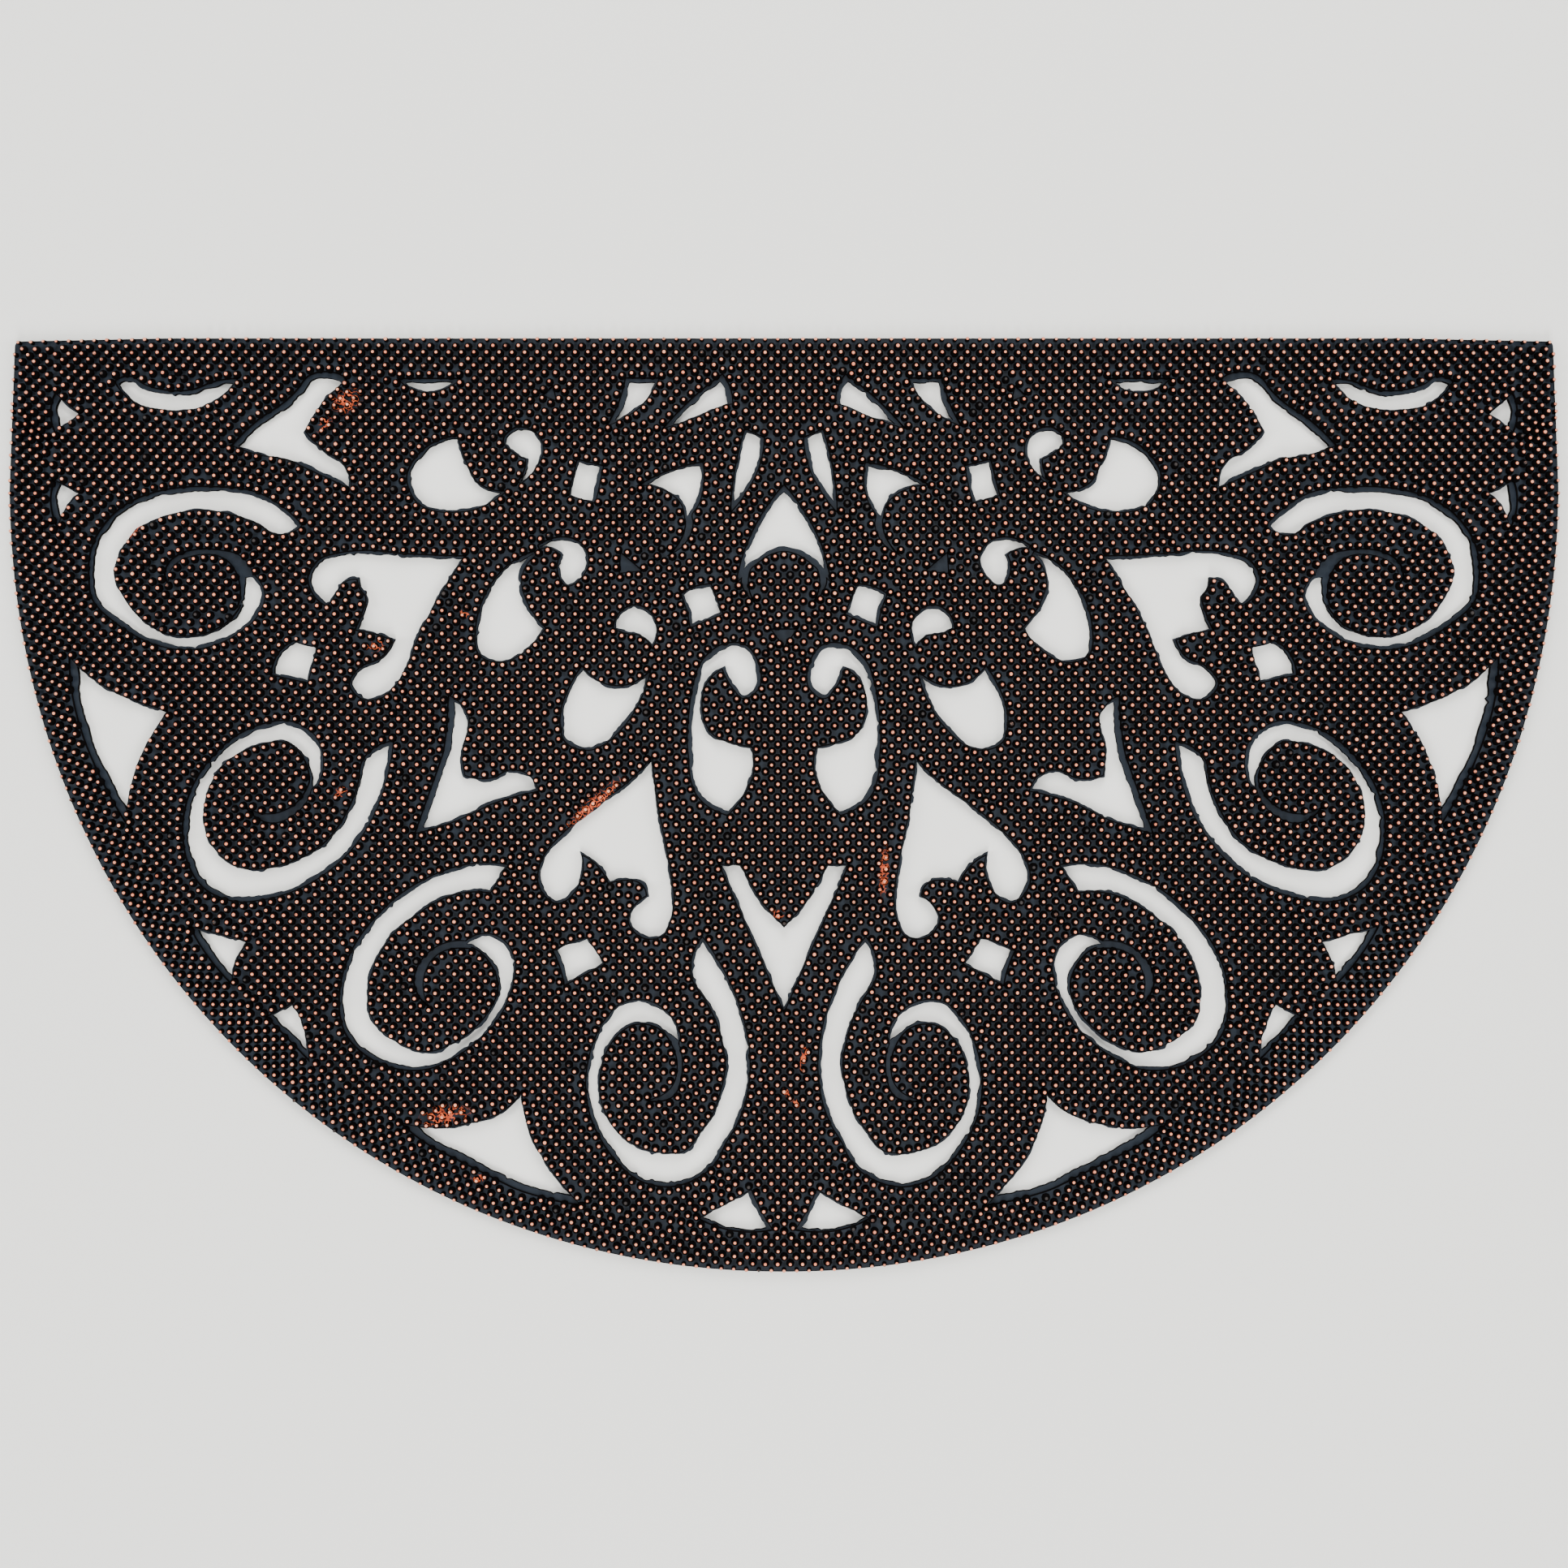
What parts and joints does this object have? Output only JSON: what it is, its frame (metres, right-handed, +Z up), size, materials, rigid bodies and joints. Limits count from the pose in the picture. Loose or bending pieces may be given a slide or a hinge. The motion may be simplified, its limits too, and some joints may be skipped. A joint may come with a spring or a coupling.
{
  "type": "rubber doormat",
  "caption": "Half-round moulded rubber pin mat with an open scroll pattern cut through it, laid flat with its straight edge against the doorstep.",
  "frame": {"origin": "middle of the mat's box, on the floor", "axes": "+X along the straight edge, +Y towards the straight edge, +Z up from the floor"},
  "size_m": [0.75, 0.452, 0.008],
  "materials": {
    "moulded_rubber": "matte moulded black rubber, its pins tipped with rubbed copper paint"
  },
  "bodies": {
    "root": {"mat": "moulded_rubber"}
  },
  "joints": []
}
